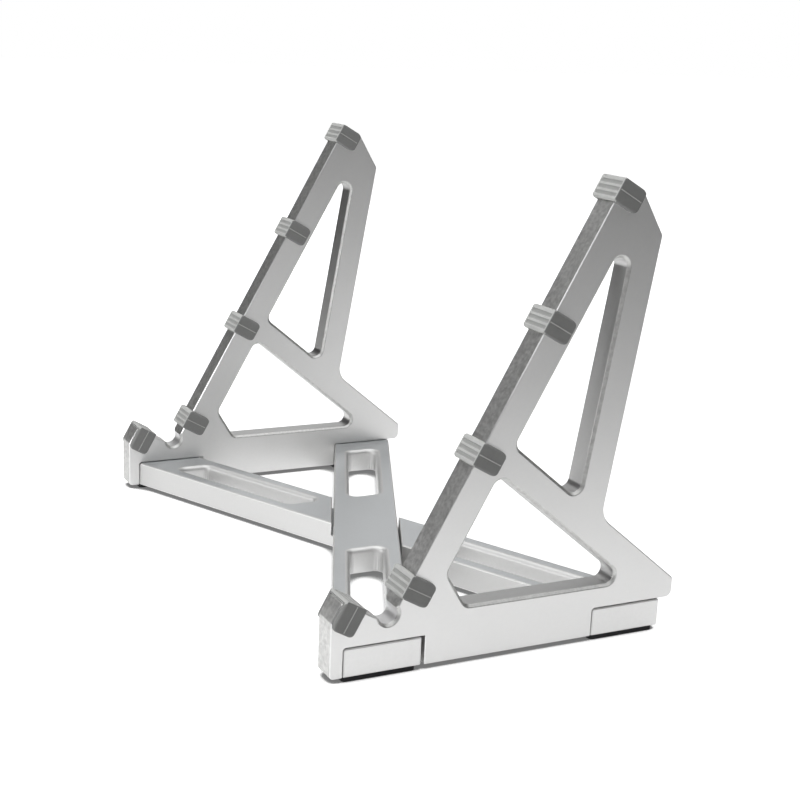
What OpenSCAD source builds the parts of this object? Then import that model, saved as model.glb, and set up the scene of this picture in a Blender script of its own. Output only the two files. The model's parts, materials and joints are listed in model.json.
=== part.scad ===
// Desktop keyboard stand: two upright plates on a half-lapped X of two flat bars.
// Millimetres, +Z up, +X to the right, -Y to the front.
// The origin is at the middle of the footprint, on the surface that the stand rests on.

/* [Upright outline] */
// Thickness of each upright plate
plate_t = 10; // [8:0.5:14]
// Overall width across the outer faces of the two uprights
span_w = 237.4; // [210:0.2:360]
// Depth of an upright from its front edge to its rear toe
plate_d = 139; // [132:0.5:160]
// Height of the vertical front edge, above the upright's own bottom
front_h = 20.3; // [18:0.1:26]
// Lean of the long front slope, from the level
slope_a = 60.9; // [58:0.1:63]
// Length of the lip's slanted front face
lip_rise = 7.7; // [5:0.1:12]
// Width of the cradle between the slope and the lip's front face
cradle_w = 20.4; // [18:0.1:24]
// Length of the slope from the cradle's corner to the top end
slope_len = 170; // [160:0.5:180]
// Width of the upright's top end, square to the slope
top_w = 8.8; // [6:0.1:12]
// Length of the slanted cut between the top end and the rear edge
top_cut_len = 18; // [12:0.5:22]
// Angle of that cut, from the level
top_cut_a = 58.7; // [54:0.1:64]
// Lean of the rear edge, from the level
rear_a = 80.8; // [78:0.1:84]
// Height of the inner corner where the rear edge meets the rear leg
waist_h = 45.4; // [40:0.1:52]
// Height of the rear toe's upper corner
toe_h = 17.9; // [16:0.1:22]
// Radius of the fillet at the waist
waist_r = 8; // [4:0.5:12]
// Radius of the small outer corners
corner_r = 1.6; // [0.8:0.1:2.5]
// Radius under the rear toe
toe_r = 2.4; // [1:0.1:3.5]

/* [Cradle relief] */
// Radius of the round relief at the bottom of the cradle
relief_r = 3.6; // [3.4:0.1:4.4]
// Distance of the relief's centre in front of the slope
relief_out = 1.9; // [1.5:0.1:2.4]
// Distance of the relief's centre above the lip's upper face
relief_up = 2.8; // [2.4:0.1:3]

/* [Upright windows] */
// Width of the rails along the slope and along the rear leg
rail_w = 11.75; // [10:0.05:14]
// Width of the rail along the rear edge
rear_rail_w = 11.35; // [9:0.05:14]
// Width of the brace between the two windows
brace_w = 11.1; // [9:0.1:13]
// Height of the lower window's sill above the upright's bottom
sill_h = 19.35; // [17:0.05:22]
// Length of sill that the lower window's slanted corner takes off
corner_cut = 14.7; // [10:0.1:19]
// Corner radius of the windows
window_r = 3.35; // [2:0.05:4.4]
// Chamfer round the windows and the cradle's relief, on both faces of the plate
rim = 1; // [0.3:0.1:1.6]

/* [Bars] */
// Height of the bars
bar_h = 10.4; // [8:0.1:12]
// Width of the bars, measured along Y, which is the width of their end tabs
tab_w = 29.4; // [24:0.2:32]
// Wall of the upright in front of the front tab
front_wall = 4.8; // [3:0.1:7]
// Distance from the rear tab to the end of the rear toe
toe_over = 5.5; // [3:0.1:8]
// Radius of the tab's front upper edge
tab_r = 1; // [0.5:0.1:1.5]
// Distance from the middle of the stand to the near end of each bar window
bar_window_in = 31.6; // [28:0.1:36]
// Solid bar between the far end of each bar window and the upright
bar_window_end = 13.2; // [10:0.1:16]
// Width of the bar windows, square to the bar
bar_window_w = 13.4; // [10:0.1:15]
// Corner radius of the bar windows
bar_window_r = 3; // [2:0.1:4]
// Radius that rounds over the upper rim of the bar windows
bar_round = 2; // [0.5:0.1:2.4]

/* [Rubber feet] */
// Thickness of a rubber foot
foot_t = 1.6; // [1:0.1:4]
// Length of a foot along X
foot_l = 9.4; // [7:0.1:9.6]
// How much the foot stops short of the rear edge of its tab
foot_short = 1.9; // [0.5:0.1:6]
// Corner radius of a foot
foot_r = 1.5; // [0.5:0.1:3]

/* [Rubber clips] */
// Length of a clip along the edge that it grips
clip_len = 9; // [7:0.1:12]
// Thickness of the clip's web over the edge, with its ribs
clip_web = 1.7; // [1.4:0.1:3]
// Thickness of the clip's flaps
clip_flap = 1.9; // [1.2:0.1:3]
// Reach of the flaps down the sides of the plate
clip_reach = 9.3; // [7:0.1:10]
// Radius of the flaps' free corners
clip_r = 2; // [1:0.1:3]
// Number of ribs across the web
rib_n = 5; // [3:1:7]
// Depth of the grooves between the ribs
groove_d = 0.6; // [0.3:0.1:1]
// Width of a groove
groove_w = 0.7; // [0.3:0.1:0.9]
// Height of the seam that runs down the middle of each flap
seam_h = 0.15; // [0.1:0.05:0.3]
// Width of the seam
seam_w = 0.35; // [0.2:0.05:0.6]
// Distance from the upright's top end to the middle of the first clip
clip_first = 4.4; // [4.4:0.1:14]
// Spacing of the clips down the slope
clip_pitch = 50.5; // [40:0.5:51]
// Distance from the lip's front face to the front of the lip clip
lip_clip_in = 0.3; // [0:0.1:3]

/* [Fits] */
// Hairline clearance at the front side of each tab
side_fit = 0.2; // [0.1:0.05:0.5]
// Open clearance at the rear side of the front tab
rear_fit = 1.3; // [0.5:0.1:2]
// Clearance over the tabs
top_fit = 0.25; // [0.1:0.05:0.5]
// Clearance on each side of the half lap
lap_fit = 0.9; // [0.3:0.1:1.5]
// Clearance between the two halves of the lap, one over the other
lap_seat = 0.3; // [0.1:0.05:0.6]
// Clearance between a clip and the plate that it grips
clip_fit = 0.1; // [0.05:0.05:0.3]

/* [Hidden] */
$fn = 48;

// How far a cut runs on past the face that it opens
over = 1;

// Places across the width
face_out = span_w / 2;
face_in = face_out - plate_t;
plate_mid = (face_out + face_in) / 2;

// Directions in the plane of an upright, as [y, z]: up the slope, and into the plate from it
up = [cos(slope_a), sin(slope_a)];
into = [sin(slope_a), -cos(slope_a)];

// Corners of the outline, as [y, z] above the upright's own bottom
front_y = -plate_d / 2;
toe_y = plate_d / 2;
p_front = [front_y, front_h];
p_tip = p_front + lip_rise * up;
p_cradle = p_tip + cradle_w * into;
p_top = p_cradle + slope_len * up;
p_cap = p_top + top_w * into;
p_cut = p_cap + top_cut_len * [cos(top_cut_a), -sin(top_cut_a)];
p_waist = [p_cut[0] - (p_cut[1] - waist_h) / tan(rear_a), waist_h];
p_toe = [toe_y, toe_h];

// The notches that take the bars' end tabs
notch_h = bar_h + top_fit;
front_tab_y = front_y + front_wall + side_fit + tab_w / 2;
rear_tab_y = toe_y - toe_over - tab_w / 2;

// The bars in plan: each runs straight between the inner faces and ends in a straight tab
bar_mid_y = (front_tab_y + rear_tab_y) / 2;
lean = (rear_tab_y - front_tab_y) / (2 * face_in);
bar_a = atan(lean);
lap_z = bar_h / 2;

// Directions of the window edges
leg_a = atan2(p_toe[1] - p_waist[1], p_toe[0] - p_waist[0]);
leg_in = [sin(leg_a), -cos(leg_a)];

// The point where a line through p at angle a meets a line through q at angle b
function meet(p, a, q, b) =
    let (d = [cos(a), sin(a)], e = [cos(b), sin(b)], w = q - p)
    p + d * (w[0] * e[1] - w[1] * e[0]) / (d[0] * e[1] - d[1] * e[0]);

function unit(v) = v / norm(v);

// Lines that bound the two windows: through a point, at an angle
slope_pt = p_cradle + rail_w * into;
rear_pt = p_waist + rear_rail_w * [-sin(rear_a), cos(rear_a)];
leg_pt = p_toe + rail_w * leg_in;
brace_pt = leg_pt - brace_w * leg_in;
sill_pt = [0, sill_h];

upper_window = [
    meet(slope_pt, slope_a, brace_pt, leg_a),
    meet(brace_pt, leg_a, rear_pt, rear_a),
    meet(rear_pt, rear_a, slope_pt, slope_a)
];
sill_corner = meet(slope_pt, slope_a, sill_pt, 0);
cut_pt = sill_corner + [corner_cut, 0];
lower_window = [
    meet(slope_pt, slope_a, cut_pt, 180 - top_cut_a),
    cut_pt,
    meet(leg_pt, leg_a, sill_pt, 0),
    meet(slope_pt, slope_a, leg_pt, leg_a)
];

// Middle of the round relief where the slope meets the lip
relief_mid = p_cradle - relief_out * into + relief_up * up;

// The outline without its waist, and the open wedge behind the waist
outline = [
    [front_y, 0], [toe_y, 0], p_toe, [toe_y, p_cut[1]], p_cut,
    p_cap, p_top, p_cradle, p_tip, p_front
];
wedge = [
    p_cut + waist_r * [cos(rear_a), sin(rear_a)], p_waist,
    p_toe + waist_r * [cos(leg_a), sin(leg_a)], [toe_y + waist_r * 2, p_cut[1] + waist_r * 2]
];

// The sliver between a sharp corner at v, with neighbours a and b, and an arc of radius r.
// It runs on past both edges by a little, and its arc crosses them at a slight angle where
// it would only graze them, so that it cuts or joins cleanly.
past = 0.5;
bite = 0.005;
module sliver(a, v, b, r) {
    u = unit(a - v);
    w = unit(b - v);
    half = acos(u * w) / 2;
    t = r / tan(half);
    mid = unit(u + w);
    c = v + mid * r / sin(half);
    difference() {
        polygon([
            v - mid * past / sin(half), v + u * t - unit(c - v - u * t) * past,
            c, v + w * t - unit(c - v - w * t) * past
        ]);
        translate(c) circle(r + bite);
    }
}

// A polygon whose corners are all rounded to r
module rounded(pts, r) {
    n = len(pts);
    difference() {
        polygon(pts);
        for (i = [0 : n - 1])
            sliver(pts[(i + n - 1) % n], pts[i], pts[(i + 1) % n], r);
    }
}

// The upright in its own plane, with 2-D x as depth and 2-D y as height
module upright_2d() {
    notch_top = notch_h;
    front_notch = [front_tab_y - tab_w / 2 - side_fit, front_tab_y + tab_w / 2 + rear_fit];
    rear_notch = rear_tab_y - tab_w / 2 - side_fit;
    under_toe = [toe_y, notch_top];
    difference() {
        polygon(outline);
        difference() {
            polygon(wedge);
            sliver(p_cut, p_waist, p_toe, waist_r);
        }
        sliver([front_y, front_h], [front_y, 0], [0, 0], corner_r);
        sliver([front_y, 0], p_front, p_tip, corner_r);
        sliver(p_front, p_tip, p_cradle, corner_r / 2);
        sliver(p_cradle, p_top, p_cap, corner_r / 2);
        sliver(p_top, p_cap, p_cut, corner_r);
        sliver(p_cap, p_cut, p_waist, corner_r);
        sliver(p_waist, p_toe, under_toe, corner_r);
        translate(relief_mid) circle(relief_r);
        rounded(upper_window, window_r);
        rounded(lower_window, window_r);
        // front notch, closed on both sides, with a rounded front upper corner
        difference() {
            translate([front_notch[0], -over])
                square([front_notch[1] - front_notch[0], notch_top + over]);
            sliver([front_notch[0], 0], [front_notch[0], notch_top], [0, notch_top], tab_r + side_fit);
        }
        // rear notch, open under the toe
        difference() {
            translate([rear_notch, -over]) square([toe_y - rear_notch + over, notch_top + over]);
            sliver([rear_notch, 0], [rear_notch, notch_top], [toe_y, notch_top], tab_r + side_fit);
        }
        sliver(p_toe, under_toe, [0, notch_top], toe_r);
    }
}

// Centres of the corner arcs of a polygon whose corners are rounded to r
function arc_centres(pts, r) = [
    for (i = [0 : len(pts) - 1])
        let (
            n = len(pts), v = pts[i], u = unit(pts[(i + n - 1) % n] - v),
            w = unit(pts[(i + 1) % n] - v), half = acos(u * w) / 2
        )
        v + unit(u + w) * r / sin(half)
];

// A window's outline that widens steadily with height: by g0 at the bottom, by g1 at height h
module flare(pts, r, g0, g1, h) {
    hull()
        for (p = arc_centres(pts, r))
            translate(p) cylinder(h = h, r1 = r + g0, r2 = r + g1, $fn = 32);
}

// Cuts a chamfer of size rim round the windows and the relief, up to the face at z = 0.
// It starts a little inside each outline, so that it crosses the wall cleanly.
cross = 0.02;
module rim_cut() {
    g1 = 2 * rim - cross;
    translate([0, 0, -rim]) {
        flare(upper_window, window_r, -cross, g1, 2 * rim);
        flare(lower_window, window_r, -cross, g1, 2 * rim);
        translate(relief_mid) cylinder(h = 2 * rim, r1 = relief_r - cross, r2 = relief_r + g1);
    }
}

module upright() {
    translate([face_in, 0, foot_t])
        rotate([90, 0, 90])
            difference() {
                linear_extrude(plate_t) upright_2d();
                translate([0, 0, plate_t]) rim_cut();
                mirror([0, 0, 1]) rim_cut();
            }
}

// Plan of a bar that runs from the front left to the rear right, grown by g on its long sides
module bar_2d(g = 0) {
    h = tab_w / 2 + g;
    polygon([
        [-face_out, front_tab_y - h], [-face_in, front_tab_y - h],
        [face_in, rear_tab_y - h], [face_out, rear_tab_y - h],
        [face_out, rear_tab_y + h], [face_in, rear_tab_y + h],
        [-face_in, front_tab_y + h], [-face_out, front_tab_y + h]
    ]);
}

// Corners of a bar window on the right half, with ends parallel to the uprights
bar_window_out = face_in - bar_window_end;
bar_window_h = bar_window_w / cos(bar_a) / 2;
function bar_window(x0, x1) = [
    [x0, lean * x0 - bar_window_h], [x1, lean * x1 - bar_window_h],
    [x1, lean * x1 + bar_window_h], [x0, lean * x0 + bar_window_h]
];

// Rounds over the upper rim of a window, up to the face at z = 0, in steps of a quarter round.
// Each step's cut is a straight flare that runs on past both ends of its own stretch.
round_steps = 3;
module round_over(pts, r, big) {
    for (i = [0 : round_steps - 1]) {
        t0 = 90 * i / round_steps;
        t1 = 90 * (i + 1) / round_steps;
        g = big * (1 - cos(t0));
        z = big * sin(t0);
        slope = (cos(t0) - cos(t1)) / (sin(t1) - sin(t0));
        h = big - z + over;
        translate([0, 0, z - big - cross])
            flare(pts, r, g - slope * cross, g + slope * h, h + cross);
    }
}

// The part of a bar that both bars share: two straight tabs, a flat strip and two long windows
module bar_blank() {
    difference() {
        translate([0, 0, foot_t]) linear_extrude(bar_h) bar_2d();
        for (side = [-1, 1]) {
            pts = side > 0 ? bar_window(bar_window_in, bar_window_out)
                           : bar_window(-bar_window_out, -bar_window_in);
            translate([0, bar_mid_y, foot_t - over])
                linear_extrude(bar_h + 2 * over) rounded(pts, bar_window_r);
            translate([0, bar_mid_y, foot_t + bar_h])
                round_over(pts, bar_window_r, bar_round);
        }
        // front upper edge of each tab, rounded to match its notch
        for (end = [-1, 1]) {
            tab_y = end < 0 ? front_tab_y : rear_tab_y;
            x0 = end < 0 ? -face_out - over : face_in;
            y0 = tab_y - tab_w / 2;
            translate([x0, 0, foot_t])
                rotate([90, 0, 90])
                    linear_extrude(plate_t + over)
                        sliver([y0, 0], [y0, bar_h], [y0 + tab_w, bar_h], tab_r);
        }
    }
}

module lower_bar() {
    color("silver")
        difference() {
            bar_blank();
            translate([0, 0, foot_t + lap_z])
                linear_extrude(bar_h)
                    mirror([1, 0, 0]) bar_2d(lap_fit);
        }
}

module upper_bar() {
    color("silver")
        mirror([1, 0, 0])
            difference() {
                bar_blank();
                translate([0, 0, foot_t - over])
                    linear_extrude(lap_z + lap_seat + over)
                        mirror([1, 0, 0]) bar_2d(lap_fit);
            }
}

module right_upright() {
    color("silver") upright();
}

module left_upright() {
    color("silver") mirror([1, 0, 0]) upright();
}

// A rubber foot under a tab, flush with the tab's front side
module foot(tab_y) {
    w = tab_w - foot_short;
    x1 = face_out - (plate_t - foot_l) / 2;
    y0 = tab_y - tab_w / 2;
    linear_extrude(foot_t)
        rounded([[x1 - foot_l, y0], [x1, y0], [x1, y0 + w], [x1 - foot_l, y0 + w]], foot_r);
}

module front_right_foot() {
    color("black") foot(front_tab_y);
}

module rear_right_foot() {
    color("black") foot(rear_tab_y);
}

module front_left_foot() {
    color("black") mirror([1, 0, 0]) foot(front_tab_y);
}

module rear_left_foot() {
    color("black") mirror([1, 0, 0]) foot(rear_tab_y);
}

// A rubber clip in its own frame: Y along the gripped edge, Z away from it, X across the plate
module clip() {
    half_in = plate_t / 2 + clip_fit;
    half_out = half_in + clip_flap;
    pitch = clip_len / rib_n;
    deep = clip_reach + clip_web;
    side = [
        [-clip_len / 2, clip_web], [-clip_len / 2, -clip_reach],
        [clip_len / 2, -clip_reach], [clip_len / 2, clip_web]
    ];
    difference() {
        translate([-half_out, 0, 0])
            rotate([90, 0, 90])
                linear_extrude(2 * half_out)
                    difference() {
                        polygon(side);
                        sliver(side[0], side[1], side[2], clip_r);
                        sliver(side[1], side[2], side[3], clip_r);
                    }
        translate([-half_in, -clip_len, -clip_reach - over])
            cube([2 * half_in, 2 * clip_len, clip_reach + over + clip_fit]);
        for (i = [1 : rib_n - 1])
            translate([-half_out - over, -clip_len / 2 + i * pitch - groove_w / 2, clip_web - groove_d])
                cube([2 * (half_out + over), groove_w, groove_d + over]);
    }
    for (s = [-1, 1])
        translate([s > 0 ? half_out : -half_out - seam_h, -seam_w / 2, -clip_reach])
            cube([seam_h, seam_w, deep - groove_d * 2]);
}

// A clip on the slope, with its middle at distance s down from the top end
module slope_clip(s) {
    p = p_top - s * up;
    color("gray")
        translate([plate_mid, p[0], p[1] + foot_t])
            rotate([slope_a, 0, 0]) clip();
}

// The clip on the lip's upper face
module lip_clip() {
    p = p_tip + (lip_clip_in + clip_len / 2) * into;
    color("gray")
        translate([plate_mid, p[0], p[1] + foot_t])
            rotate([slope_a - 90, 0, 0]) clip();
}

module right_clip_1() {
    slope_clip(clip_first);
}

module right_clip_2() {
    slope_clip(clip_first + clip_pitch);
}

module right_clip_3() {
    slope_clip(clip_first + 2 * clip_pitch);
}

module right_clip_4() {
    slope_clip(clip_first + 3 * clip_pitch);
}

module right_lip_clip() {
    lip_clip();
}

module left_clip_1() {
    mirror([1, 0, 0]) right_clip_1();
}

module left_clip_2() {
    mirror([1, 0, 0]) right_clip_2();
}

module left_clip_3() {
    mirror([1, 0, 0]) right_clip_3();
}

module left_clip_4() {
    mirror([1, 0, 0]) right_clip_4();
}

module left_lip_clip() {
    mirror([1, 0, 0]) lip_clip();
}

lower_bar();
upper_bar();
right_upright();
left_upright();
front_left_foot();
rear_right_foot();
front_right_foot();
rear_left_foot();
right_clip_1();
right_clip_2();
right_clip_3();
right_clip_4();
right_lip_clip();
left_clip_1();
left_clip_2();
left_clip_3();
left_clip_4();
left_lip_clip();
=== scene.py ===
import json
import math

import bmesh
import bpy
import numpy as np
from mathutils import Matrix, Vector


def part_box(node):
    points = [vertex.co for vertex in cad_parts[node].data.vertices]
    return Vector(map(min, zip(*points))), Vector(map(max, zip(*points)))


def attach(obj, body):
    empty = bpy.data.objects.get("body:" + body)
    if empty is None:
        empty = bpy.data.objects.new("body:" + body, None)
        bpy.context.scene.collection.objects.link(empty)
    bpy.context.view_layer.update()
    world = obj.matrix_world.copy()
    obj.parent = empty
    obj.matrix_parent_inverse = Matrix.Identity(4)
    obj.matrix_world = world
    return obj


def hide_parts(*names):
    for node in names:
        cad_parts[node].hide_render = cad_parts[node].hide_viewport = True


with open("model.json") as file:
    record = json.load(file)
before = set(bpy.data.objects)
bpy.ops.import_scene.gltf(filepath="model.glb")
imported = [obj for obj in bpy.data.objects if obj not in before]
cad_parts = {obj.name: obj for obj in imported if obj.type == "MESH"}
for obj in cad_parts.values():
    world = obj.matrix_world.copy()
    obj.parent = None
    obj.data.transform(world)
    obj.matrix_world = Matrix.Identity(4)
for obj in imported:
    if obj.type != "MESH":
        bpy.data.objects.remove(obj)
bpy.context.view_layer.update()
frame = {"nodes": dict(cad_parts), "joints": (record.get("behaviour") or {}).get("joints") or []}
scene = bpy.context.scene

# The two uprights. Each is one 10 mm aluminium plate, bead blasted and clear anodised. Its
# outline is left with a coarse sawn grain, its windows are milled smooth inside a chamfered
# rim, and every outer edge is broken with a fine chamfer.
upright_edge = 0.0003
outer_turn = (60, 181)
rim_edge = 0.00014
rim_turn = (40, 48)
relief_middle = (-0.04823, 0.02208)
relief_reach = 0.0055
smooth_turn = 20
same_point = 2e-6
same_plane = 0.4
flat_from = 0.995
rim_from = 0.1
flat_slot, edge_slot, rim_slot, wall_slot, broken_slot, relief_slot = range(6)
face_silver = (0.82, 0.82, 0.815, 1.0)
edge_silver = (0.67, 0.67, 0.66, 1.0)
rim_silver = (0.66, 0.66, 0.65, 1.0)
wall_silver = (0.71, 0.71, 0.705, 1.0)
bright_silver = (0.86, 0.86, 0.86, 1.0)
noise_reach = (0.3, 0.7)
metal_cloud = 0.015
metal_pits = 0.35


def blast_grain_group():
    """Three noises, each from 0 to 1 round its middle: Pits is the finest, for a bump, Mottle
    is the speckle of a blasted or moulded skin, and Cloud is the slow drift of its tone."""
    group = bpy.data.node_groups.new("blast_grain", "ShaderNodeTree")
    side = group.interface
    side.new_socket("Vector", in_out="INPUT", socket_type="NodeSocketVector")
    for label, value in (("Pit Scale", 2600.0), ("Mottle Scale", 700.0), ("Cloud Scale", 22.0)):
        socket = side.new_socket(label, in_out="INPUT", socket_type="NodeSocketFloat")
        socket.default_value = value
    for label in ("Pits", "Mottle", "Cloud"):
        side.new_socket(label, in_out="OUTPUT", socket_type="NodeSocketFloat")
    nodes, links = group.nodes, group.links
    entry = nodes.new("NodeGroupInput")
    leave = nodes.new("NodeGroupOutput")
    for label, size, detail in (("Pits", "Pit Scale", 2.0), ("Mottle", "Mottle Scale", 3.0),
                                ("Cloud", "Cloud Scale", 2.0)):
        noise = nodes.new("ShaderNodeTexNoise")
        noise.inputs["Detail"].default_value = detail
        links.new(entry.outputs["Vector"], noise.inputs["Vector"])
        links.new(entry.outputs[size], noise.inputs["Scale"])
        links.new(noise.outputs["Fac"], leave.inputs[label])
    return group


blast_grain = blast_grain_group()


def spread(nodes, links, value, ends, results, way="LINEAR"):
    """A value that runs between two ends, carried over in proportion to two results."""
    carry = nodes.new("ShaderNodeMapRange")
    carry.interpolation_type = way
    for label, number in zip(("From Min", "From Max", "To Min", "To Max"), (*ends, *results)):
        carry.inputs[label].default_value = number
    links.new(value, carry.inputs["Value"])
    return carry.outputs["Result"]


def reckoned(nodes, links, operation, first, second):
    """One step of arithmetic on two values, each of them a socket or a plain number."""
    step = nodes.new("ShaderNodeMath")
    step.operation = operation
    for entry, value in zip(step.inputs, (first, second)):
        if isinstance(value, float):
            entry.default_value = value
        else:
            links.new(value, entry)
    return step.outputs["Value"]


def tinted(nodes, links, factor, colour):
    """The colour times a factor that changes over the surface."""
    shade = nodes.new("ShaderNodeMix")
    shade.data_type = "RGBA"
    shade.blend_type = "MULTIPLY"
    shade.inputs["Factor"].default_value = 1.0
    shade.inputs["A"].default_value = colour
    links.new(factor, shade.inputs["B"])
    return shade.outputs["Result"]


def grained_skin(name, colour, roughness, sway, mottle, cloud, pit_strength, pit_depth):
    """A material whose colour is its own times 1 plus or minus mottle and cloud, whose
    roughness sways with the mottle, and whose normal is roughened by pits. Returned with its
    shader and its grain group, for what the finish still needs."""
    material = bpy.data.materials.new(name)
    material.use_nodes = True
    nodes, links = material.node_tree.nodes, material.node_tree.links
    skin = nodes["Principled BSDF"]
    place = nodes.new("ShaderNodeTexCoord")
    grain = nodes.new("ShaderNodeGroup")
    grain.node_tree = blast_grain
    links.new(place.outputs["Object"], grain.inputs["Vector"])

    def swing(label, middle, half):
        results = (middle - half, middle + half)
        return spread(nodes, links, grain.outputs[label], noise_reach, results)

    speckle = swing("Mottle", 1.0, mottle)
    drift = swing("Cloud", 1.0, cloud)
    both = reckoned(nodes, links, "MULTIPLY", speckle, drift)
    links.new(tinted(nodes, links, both, colour), skin.inputs["Base Color"])
    links.new(swing("Mottle", roughness, sway), skin.inputs["Roughness"])
    bump = nodes.new("ShaderNodeBump")
    bump.inputs["Strength"].default_value = pit_strength
    bump.inputs["Distance"].default_value = pit_depth
    links.new(grain.outputs["Pits"], bump.inputs["Height"])
    links.new(bump.outputs["Normal"], skin.inputs["Normal"])
    return material, skin, grain


def blasted_aluminium(name, colour, roughness, mottle, pit_depth, sway=0.04):
    """Bead-blasted, clear anodised aluminium: a dull metal with fine pits and a mottled tone."""
    material, metal, _ = grained_skin(name, colour, roughness, sway, mottle, metal_cloud,
                                      metal_pits, pit_depth)
    metal.inputs["Metallic"].default_value = 1.0
    return material


# After its name and colour each finish gives its roughness, its mottle, the depth of its pits
# in metres, and for the smooth ones the sway of the roughness.
plate_face = blasted_aluminium("plate_face", face_silver, 0.46, 0.012, 0.00003)
sawn_edge = blasted_aluminium("sawn_edge", edge_silver, 0.48, 0.15, 0.00007)
rim_face = blasted_aluminium("rim_face", rim_silver, 0.46, 0.12, 0.00006)
milled_wall = blasted_aluminium("milled_wall", wall_silver, 0.39, 0.012, 0.000004, 0.005)
broken_edge = blasted_aluminium("broken_edge", bright_silver, 0.30, 0.03, 0.000004, 0.005)
relief_wall = blasted_aluminium("relief_wall", bright_silver, 0.56, 0.03, 0.00003)


def joined_mesh(node):
    """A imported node's triangles joined into one closed mesh with whole flat faces."""
    metal = bmesh.new()
    metal.from_mesh(frame["nodes"][node].data)
    bmesh.ops.remove_doubles(metal, verts=metal.verts, dist=same_point)
    bmesh.ops.dissolve_limit(metal, angle_limit=math.radians(same_plane),
                             verts=metal.verts, edges=metal.edges)
    return metal


def slots_met(face):
    """The slots of a face and of the faces that share an edge with it."""
    return {near.material_index for edge in face.edges for near in edge.link_faces}


def sort_faces(metal, axis):
    """Gives a plate's faces their slots by how level they lie, from 1 for one of its flat faces
    to 0 for one square to them: flat, rim on a slanted face, wall on a square one that meets a
    rim but no flat face, and edge on the rest."""
    for face in metal.faces:
        level = abs(face.normal[axis])
        slanted = rim_slot if level > rim_from else edge_slot
        face.material_index = flat_slot if level > flat_from else slanted
    met = {face: slots_met(face) for face in metal.faces}
    for face in metal.faces:
        inside = rim_slot in met[face] and flat_slot not in met[face]
        if face.material_index == edge_slot and inside:
            face.material_index = wall_slot


def break_edges(metal, width, turn, slot, segments=1, clamp=False):
    """Bevels every outward edge that turns by an angle in a range of degrees, and gives the
    new faces a slot."""
    low, high = math.radians(turn[0]), math.radians(turn[1])
    metal.normal_update()
    sharp = [edge for edge in metal.edges if low < edge.calc_face_angle_signed(0.0) < high]
    bmesh.ops.bevel(metal, geom=sharp, offset=width, offset_type="OFFSET", segments=segments,
                    profile=0.5, affect="EDGES", clamp_overlap=clamp, loop_slide=False,
                    material=slot)


def finished_piece(metal, name, body, node, materials, smooth_under):
    """A piece from a bmesh, smooth where it turns by less than smooth_under degrees and crisp
    at its sharper edges, that rides where its node rides."""
    metal.normal_update()
    for edge in metal.edges:
        edge.smooth = edge.calc_face_angle(0.0) < math.radians(smooth_under)
    for face in metal.faces:
        face.smooth = True
    mesh = bpy.data.meshes.new(name)
    metal.to_mesh(mesh)
    metal.free()
    for material in materials:
        mesh.materials.append(material)
    piece = bpy.data.objects.new(name, mesh)
    scene.collection.objects.link(piece)
    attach(piece, body)
    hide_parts(node)
    return piece


for side in ("right", "left"):
    node = side + "_upright"
    plate = joined_mesh(node)
    sort_faces(plate, axis=0)
    for face in plate.faces:
        spot = face.calc_center_median()
        in_relief = math.dist((spot.y, spot.z), relief_middle) < relief_reach
        if face.material_index == wall_slot and in_relief:
            face.material_index = relief_slot
    break_edges(plate, rim_edge, rim_turn, rim_slot, clamp=True)
    break_edges(plate, upright_edge, outer_turn, broken_slot)
    finished_piece(plate, side + "_upright_plate", node, node,
                   (plate_face, sawn_edge, rim_face, milled_wall, broken_edge, relief_wall),
                   smooth_turn)

# The two bars. They are cut from the same aluminium, with edges that are rounded a little and
# windows whose upper rims are rounded over, and are half-lapped where they cross. Each ends in
# two tabs that the uprights drop over.
bar_edge = 0.0006
bar_turn = (50, 181)
bar_smooth_turn = 34
tab_margin = 0.001
tab_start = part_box("right_upright")[0].x - tab_margin
top_silver = (0.80, 0.82, 0.83, 1.0)
side_silver = (0.66, 0.66, 0.655, 1.0)
bar_top = blasted_aluminium("bar_top", top_silver, 0.48, 0.012, 0.00003)
bar_side = blasted_aluminium("bar_side", side_silver, 0.52, 0.02, 0.00004)
bar_rim = blasted_aluminium("bar_rim", face_silver, 0.56, 0.012, 0.00003)
bar_wall = blasted_aluminium("bar_wall", face_silver, 0.46, 0.02, 0.00004)

for node, body in (("lower_bar", "base"), ("upper_bar", "cross_bar")):
    bar = joined_mesh(node)
    sort_faces(bar, axis=2)
    for face in bar.faces:
        on_tab = abs(face.calc_center_median().x) > tab_start
        in_window = face.material_index == edge_slot and rim_slot in slots_met(face)
        if in_window or on_tab and face.material_index != flat_slot:
            face.material_index = wall_slot
    break_edges(bar, bar_edge, bar_turn, rim_slot, segments=3)
    piece = finished_piece(bar, node + "_plate", body, node,
                           (bar_top, bar_side, bar_rim, bar_wall), bar_smooth_turn)
    piece.modifiers.new("flat_faces_lead", "WEIGHTED_NORMAL").keep_sharp = True

# The rubber clips. Each is a moulded U that grips the plate's edge: a fluted web over the edge,
# painted paler as painted light where it faces the lamps, and two flaps with rounded corners
# and a raised seam. All ten are alike, and hold on by their own spring.
clip_flap = 0.0019
clip_web = 0.0017
seat_gap = 0.00002
seam_height = 0.0002
seam_half = 0.00018
seam_foot = 0.000288
flute_count = 4
flute_depth = 0.0004
flute_shift = 0.26
# Where a flute's fall and its climb start and end, as shares of the flutes' spacing.
flute_marks = np.array([0.0, 0.13, 0.48, 0.74])
# Places in the last groove, as shares of the spacing, and how far it has sunk at each.
last_groove = ((0.0, 0.07, 0.15), (0.0, 0.8, 0.2))
flute_margin = 0.0006
end_round = 0.0010
shoulder_round = 0.0004
corner_round = 0.0020
# A flap's free end has two rounds, and this least flat stays between them.
free_round = 0.0007
free_flat = 0.00001
# The flaps' free ends and the mouth draw in by these shares of what the outside draws in.
foot_draw = 0.3
mouth_draw = 0.4
even_rings = 50
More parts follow.
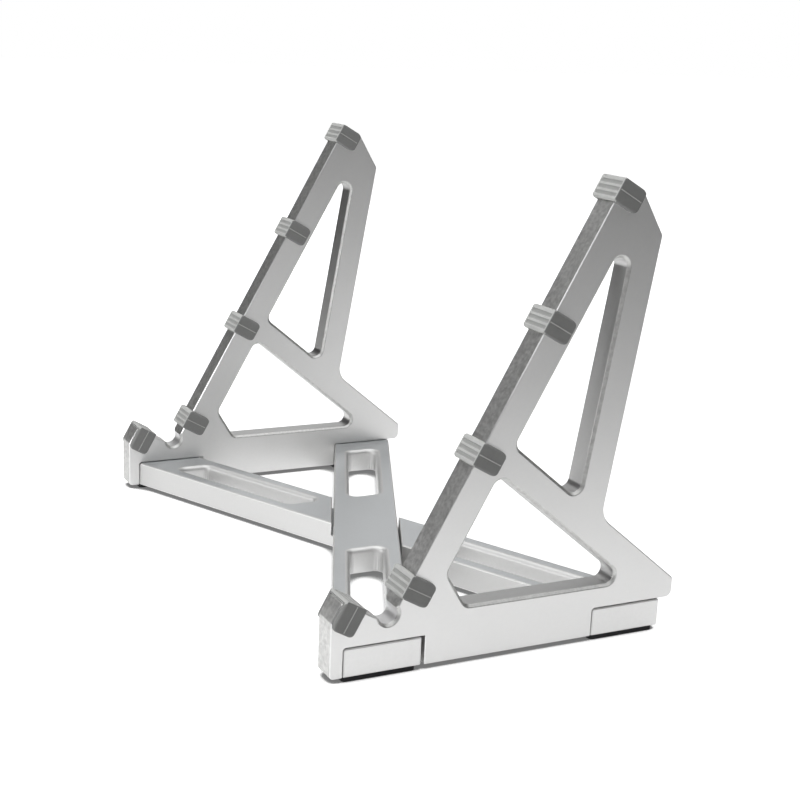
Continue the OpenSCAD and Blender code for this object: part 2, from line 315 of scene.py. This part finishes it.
# A face deeper than this share of a flute takes the recess's darker grey, which is painted shade.
recess_shade_from = 0.35
clip_smooth_turn = 30
flap_slot, web_slot, seam_highlight_slot, recess_shade_slot = range(4)
flap_grey = (0.29, 0.292, 0.287, 1.0)
# The web's grey is painted twice as light as the flaps': painted light, where the web faces the
# lamps.
web_grey_painted_light = (0.60, 0.605, 0.593, 1.0)
# The seam's grey is a painted highlight: the raised seam painted twice as light as the flaps.
seam_grey_painted_highlight = (0.62, 0.62, 0.61, 1.0)
# The recess's grey is painted shade, darker where the flutes sink in.
recess_grey_painted_shade = (0.43, 0.434, 0.426, 1.0)
rubber_grain = {"Pit Scale": 4200.0, "Mottle Scale": 900.0, "Cloud Scale": 160.0}
rubber_pits = 0.3
rubber_sway = 0.06
rubber_shine = 0.35


def rubber(name, colour, roughness, cloud, pit_depth):
    """Moulded rubber: a dull skin with a fine grain and a slightly cloudy tone."""
    material, skin, grain = grained_skin(name, colour, roughness, rubber_sway, cloud, cloud,
                                         rubber_pits, pit_depth)
    skin.inputs["Specular IOR Level"].default_value = rubber_shine
    for label, value in rubber_grain.items():
        grain.inputs[label].default_value = value
    return material


flap_rubber = rubber("flap_rubber", flap_grey, 0.62, 0.03, 0.00003)
web_rubber_painted_light = rubber("web_rubber_painted_light", web_grey_painted_light, 0.58, 0.03, 0.00003)
seam_rubber_painted_highlight = rubber("seam_rubber_painted_highlight", seam_grey_painted_highlight, 0.5, 0.02, 0.00002)
recess_rubber_painted_shade = rubber("recess_rubber_painted_shade", recess_grey_painted_shade, 0.62, 0.03, 0.00003)


def sweep_in(distance, radius):
    """How far a rounded end has drawn in at a distance from it: r - sqrt(r^2 - (r - d)^2)."""
    reach = np.clip(radius - distance, 0.0, radius)
    return radius - np.sqrt(radius ** 2 - reach ** 2)


def arc(cx, cz, radius, start, stop, count):
    """Points (x, z) along an arc from one angle to another, in degrees."""
    turn = np.radians(np.linspace(start, stop, count))
    return np.stack([cx + radius * np.cos(turn), cz + radius * np.sin(turn)], axis=1)


def rounding_rings(half, radius, start, count):
    """Places along the clip for the rings of a rounded end, evenly spaced round its arc."""
    return half - radius * (1 - np.cos(np.radians(np.linspace(start, 90, count))))


def flute_sink(y, half):
    """How far the web has sunk into a flute at y, from 0 on a ridge to 1 in a recess. Each
    flute falls steeply to its recess and climbs slowly to the next ridge, from mark to mark.
    The first ridge is plain, and a last narrow groove ends the row."""
    step = (half - y) / (2 * half / flute_count) + flute_shift
    sink = np.interp(step % 1.0, [*flute_marks, 1.0], [0.0, 1.0, 1.0, 0.0, 0.0])
    sink = np.where(step < 1.0, 0.0, sink)
    return np.where(step > flute_count, np.interp(step - flute_count, *last_groove), sink)


def ring_places(half):
    """Where the clip's rings stand along y: close together on rounded ends, at each mark of
    the flutes and at the seam, and evenly in between."""
    turns = np.arange(1, flute_count + 1)[:, None]
    marks = half - 2 * half / flute_count * (turns + flute_marks - flute_shift).ravel()
    marks = marks[marks > -half + end_round / 2]
    near_end = rounding_rings(half, end_round, 0, 7)
    corner = rounding_rings(half, corner_round, 24, 9)
    even = np.linspace(-half + end_round, half - end_round, even_rings)
    seam = np.array([seam_half, seam_foot])
    places = [near_end, -near_end, corner, -corner, even, marks, seam, -seam, [0.0]]
    return np.unique(np.round(np.concatenate(places), 7))


def clip_grid(half_in, half_out, length, reach):
    """The clip's skin as a grid of rings, (ring, point, xyz), in its own frame: y runs along
    the gripped edge and z away from it. Each ring is the closed U at one y. Its outer path is
    drawn in near the two ends, its flaps are shortened there by the corner round, its web
    sinks into the flutes, and its flaps carry the seam."""
    half = length / 2
    y = ring_places(half)
    from_end = half - np.abs(y)
    drawn = sweep_in(from_end, end_round)
    top = clip_web - drawn - flute_depth * flute_sink(y, half)
    foot = -reach + sweep_in(from_end, corner_round) + drawn * foot_draw
    mouth = seat_gap + drawn * mouth_draw
    seam_lift = seam_height * np.clip((seam_foot - np.abs(y)) / (seam_foot - seam_half), 0, 1)
    web_x = half_out - flute_margin * np.array([0.35, 0.7, 1.0]) - shoulder_round
    ease = np.array([0.0, 0.5, 1.0])
    wall_share = np.array([0.03, 0.3, 0.5, 0.7, 0.96])
    rings = []
    for k in range(len(y)):
        out = half_out - drawn[k]
        flat = clip_web - drawn[k]
        lip = min(free_round, (out - half_in) / 2 - free_flat)
        bottom = foot[k] + lip
        wall_z = bottom + wall_share * (flat - shoulder_round - bottom)
        side = np.concatenate([
            [[0.0, mouth[k]], [half_in, mouth[k]], [half_in, foot[k] * 0.5]],
            arc(half_in + lip, bottom, lip, 180, 270, 5),
            arc(out - lip, bottom, lip, 270, 360, 5),
            np.stack([np.full(5, out + seam_lift[k]), wall_z], axis=1),
            arc(out - shoulder_round, flat - shoulder_round, shoulder_round, 0, 90, 6),
            np.stack([web_x, flat + ease * (top[k] - flat)], axis=1),
            [[half_in * 0.5, top[k]], [0.0, top[k]]]])
        ring = np.concatenate([side, side[::-1][1:-1] * [-1, 1]])
        rings.append(np.column_stack([ring[:, 0], np.full(len(ring), y[k]), ring[:, 1]]))
    return np.array(rings)


def closed_tube(name, rings):
    """A closed mesh from a grid of rings: quads between neighbours and one face at each end."""
    count, around = rings.shape[:2]
    i, j = np.meshgrid(np.arange(count - 1), np.arange(around), indexing="ij")
    following = (j + 1) % around
    quads = np.stack([i * around + j, i * around + following,
                      (i + 1) * around + following, (i + 1) * around + j], axis=-1).reshape(-1, 4)
    ends = [list(range(around))[::-1], list(range((count - 1) * around, count * around))]
    mesh = bpy.data.meshes.new(name)
    mesh.from_pydata(rings.reshape(-1, 3).tolist(), [], quads.tolist() + ends)
    return mesh


def node_points(node):
    """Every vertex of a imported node, as an array."""
    mesh = frame["nodes"][node].data
    points = np.empty(len(mesh.vertices) * 3)
    mesh.vertices.foreach_get("co", points)
    return points.reshape(-1, 3)


slides = {joint["child"]: np.array(joint["axis"], float) for joint in frame["joints"]}
across = np.array([1.0, 0.0, 0.0])
for side in ("right", "left"):
    for place in ("clip_1", "clip_2", "clip_3", "clip_4", "lip_clip"):
        node = side + "_" + place
        along = slides[node] / np.linalg.norm(slides[node])
        away = np.cross(across, along)
        points = node_points(node)
        middle_x = (points[:, 0].min() + points[:, 0].max()) / 2
        half_out = (points[:, 0].max() - points[:, 0].min()) / 2 - seam_height
        span = points @ along
        rise = points @ away
        length = span.max() - span.min()
        middle_span = (span.max() + span.min()) / 2
        reach = rise.max() - rise.min() - clip_web
        rings = clip_grid(half_out - clip_flap, half_out, length, reach)
        seat = across * middle_x + along * middle_span + away * (rise.max() - clip_web)
        mesh = closed_tube(node + "_rubber", rings @ np.stack([across, along, away]) + seat)
        grip = bmesh.new()
        grip.from_mesh(mesh)
        bmesh.ops.recalc_face_normals(grip, faces=grip.faces)
        bpy.data.meshes.remove(mesh)
        for face in grip.faces:
            spot = np.array(face.calc_center_median())
            sideways = abs(spot[0] - middle_x)
            from_middle = abs(spot @ along - middle_span)
            sunk = rise.max() - spot @ away
            # Faces of the web take its paler grey, which is painted light.
            if sunk < clip_web and sideways < half_out - shoulder_round / 2:
                off_end = from_middle < length / 2 - end_round
                off_side = sideways < half_out - flute_margin
                # Deep faces in the flutes take the recess's painted shade.
                in_flute = off_end and off_side and sunk > flute_depth * recess_shade_from
                face.material_index = recess_shade_slot if in_flute else web_slot
            # Faces on the raised seam take its painted highlight.
            elif from_middle < seam_half and sideways > half_out:
                face.material_index = seam_highlight_slot
        finished_piece(grip, node + "_rubber", node, node,
                       (flap_rubber, web_rubber_painted_light, seam_rubber_painted_highlight, recess_rubber_painted_shade), clip_smooth_turn)

# The four rubber feet. Each is a flat black pad that is stuck under a tab and shows as a dark
# strip under the upright.
foot_black = (0.018, 0.018, 0.02, 1.0)
foot_rubber = rubber("foot_rubber", foot_black, 0.7, 0.08, 0.00004)
for node in ("front_left_foot", "front_right_foot", "rear_left_foot", "rear_right_foot"):
    pad = frame["nodes"][node]
    pad.data.materials.clear()
    pad.data.materials.append(foot_rubber)

# The floor is a plain white table. The camera sees it as white apart from a painted shadow,
# a dark strip where the stand all but touches it, and its glow in the metal is a painted pool
# of light, brightest close to the stand.
table_half = 6.0
table_white = (0.8, 0.8, 0.8, 1.0)
table_dullness = 0.9
table_glow = 0.50
glow_near = 0.28
glow_far = 0.42
white_near = 0.78
white_far_at = 0.60
# The painted contact shadow: how far the stand darkens the table, at which openness the
# painted shadow ends, and how dark it gets.
contact_reach = 0.009
contact_open = (0.40, 0.64)
contact_shadow_tone = 0.17


def table_material():
    """White where the camera looks, with a painted shadow in the narrow gap under the stand, and
    in reflections a painted pool of soft white light that falls off with distance."""
    material = bpy.data.materials.new("table_white")
    material.use_nodes = True
    nodes, links = material.node_tree.nodes, material.node_tree.links
    paint = nodes["Principled BSDF"]
    paint.inputs["Roughness"].default_value = table_dullness
    paint.inputs["Specular IOR Level"].default_value = 0.0
    place = nodes.new("ShaderNodeTexCoord")
    reach = nodes.new("ShaderNodeVectorMath")
    reach.operation = "LENGTH"
    links.new(place.outputs["Object"], reach.inputs[0])

    def fade(value, ends, results):
        return spread(nodes, links, value, ends, results, "SMOOTHSTEP")

    # A painted pool of light, seen only in reflections, brightest close to the stand.
    glow = fade(reach.outputs["Value"], (glow_near, glow_far), (table_glow, 0.0))
    white = fade(reach.outputs["Value"], (glow_far, white_far_at), (white_near, 1.0))
    # A painted contact shadow, darkening the table's colour and its white where the stand closes
    # it in.
    touch = nodes.new("ShaderNodeAmbientOcclusion")
    touch.inputs["Distance"].default_value = contact_reach
    shade = fade(touch.outputs["AO"], contact_open, (contact_shadow_tone, 1.0))
    links.new(tinted(nodes, links, shade, table_white), paint.inputs["Base Color"])
    path = nodes.new("ShaderNodeLightPath")
    seen = nodes.new("ShaderNodeMix")
    links.new(path.outputs["Is Camera Ray"], seen.inputs["Factor"])
    links.new(glow, seen.inputs["A"])
    links.new(reckoned(nodes, links, "MULTIPLY", white, shade), seen.inputs["B"])
    mirrored = reckoned(nodes, links, "MAXIMUM", path.outputs["Is Glossy Ray"],
                        path.outputs["Is Transmission Ray"])
    shown = reckoned(nodes, links, "MAXIMUM", path.outputs["Is Camera Ray"], mirrored)
    strength = reckoned(nodes, links, "MULTIPLY", seen.outputs["Result"], shown)
    paint.inputs["Emission Color"].default_value = (1.0, 1.0, 1.0, 1.0)
    links.new(strength, paint.inputs["Emission Strength"])
    return material


table_mesh = bpy.data.meshes.new("table")
table_corners = [(-table_half, -table_half, 0), (table_half, -table_half, 0),
                 (table_half, table_half, 0), (-table_half, table_half, 0)]
table_mesh.from_pydata(table_corners, [], [(0, 1, 2, 3)])
table_mesh.materials.append(table_material())
table = bpy.data.objects.new("table", table_mesh)
scene.collection.objects.link(table)

# The room is a pale backdrop, brightest overhead. The camera sees it as white, and the lamps in
# it are plain square soft boxes that all face the stand.
room_top = 0.06
room_side = 0.02
room_fall = 2.0
world = bpy.data.worlds.new("studio")
world.use_nodes = True
scene.world = world
room = world.node_tree.nodes
wires = world.node_tree.links
backdrop = room["Background"]
sky = room.new("ShaderNodeTexCoord")
height = room.new("ShaderNodeSeparateXYZ")
wires.new(sky.outputs["Generated"], height.inputs["Vector"])
above = reckoned(room, wires, "MAXIMUM", height.outputs["Z"], 0.0)
dome = reckoned(room, wires, "POWER", above, room_fall)
room_light = spread(room, wires, dome, (0.0, 1.0), (room_side, room_top))
sight = room.new("ShaderNodeLightPath")
room_strength = room.new("ShaderNodeMix")
wires.new(sight.outputs["Is Camera Ray"], room_strength.inputs["Factor"])
wires.new(room_light, room_strength.inputs["A"])
room_strength.inputs["B"].default_value = 1.0
backdrop.inputs["Color"].default_value = (1.0, 1.0, 1.0, 1.0)
wires.new(room_strength.outputs["Result"], backdrop.inputs["Strength"])


def softbox(name, towards, distance, size, strength):
    """A square studio light that hangs in a direction from the stand and faces it."""
    lamp = bpy.data.lights.new(name, "AREA")
    lamp.shape = "SQUARE"
    lamp.size = size
    lamp.energy = strength
    holder = bpy.data.objects.new(name, lamp)
    way = np.array(towards, float) / np.linalg.norm(towards)
    sideways = np.cross([0.0, 0.0, 1.0], way)
    sideways = sideways / np.linalg.norm(sideways)
    upward = np.cross(way, sideways)
    turn = Matrix(np.column_stack([sideways, upward, way]).tolist()).to_4x4()
    turn.translation = (way * distance).tolist()
    holder.matrix_world = turn
    scene.collection.objects.link(holder)


softbox("overhead_light", towards=(0.015, 0.0, 1.0), distance=1.2, size=2.0, strength=17.6)
softbox("front_light", towards=(0.0, -1.0, 0.15), distance=1.2, size=0.7, strength=6.4)
softbox("back_light", towards=(-0.9, 0.42, 0.15), distance=1.2, size=0.7, strength=1.2)
softbox("edge_light", towards=(0.75, -0.83, 0.74), distance=1.34, size=0.25, strength=0.5)

# The camera stands to the right and in front, a little above the stand, tilted by a
# couple of degrees.
lens_mm = 67.35
sensor_mm = 36.0
nearest_seen = 0.01
camera_spot = (0.53685, -0.26301, 0.21505)
camera_azimuth = math.radians(62.739)
camera_elevation = math.radians(14.142)
camera_roll = math.radians(2.466)
look = np.array([-math.sin(camera_azimuth) * math.cos(camera_elevation),
                 math.cos(camera_azimuth) * math.cos(camera_elevation),
                 -math.sin(camera_elevation)])
level = np.array([math.cos(camera_azimuth), math.sin(camera_azimuth), 0.0])
head = np.cross(level, look)
camera_x = math.cos(camera_roll) * level + math.sin(camera_roll) * head
camera_y = math.cos(camera_roll) * head - math.sin(camera_roll) * level
lens = bpy.data.cameras.new("camera")
lens.lens = lens_mm
lens.sensor_width = sensor_mm
lens.clip_start = nearest_seen
camera = bpy.data.objects.new("camera", lens)
stand_point = Matrix(np.column_stack([camera_x, camera_y, -look]).tolist()).to_4x4()
stand_point.translation = camera_spot
camera.matrix_world = stand_point
scene.collection.objects.link(camera)
scene.camera = camera
scene.view_settings.view_transform = "Standard"
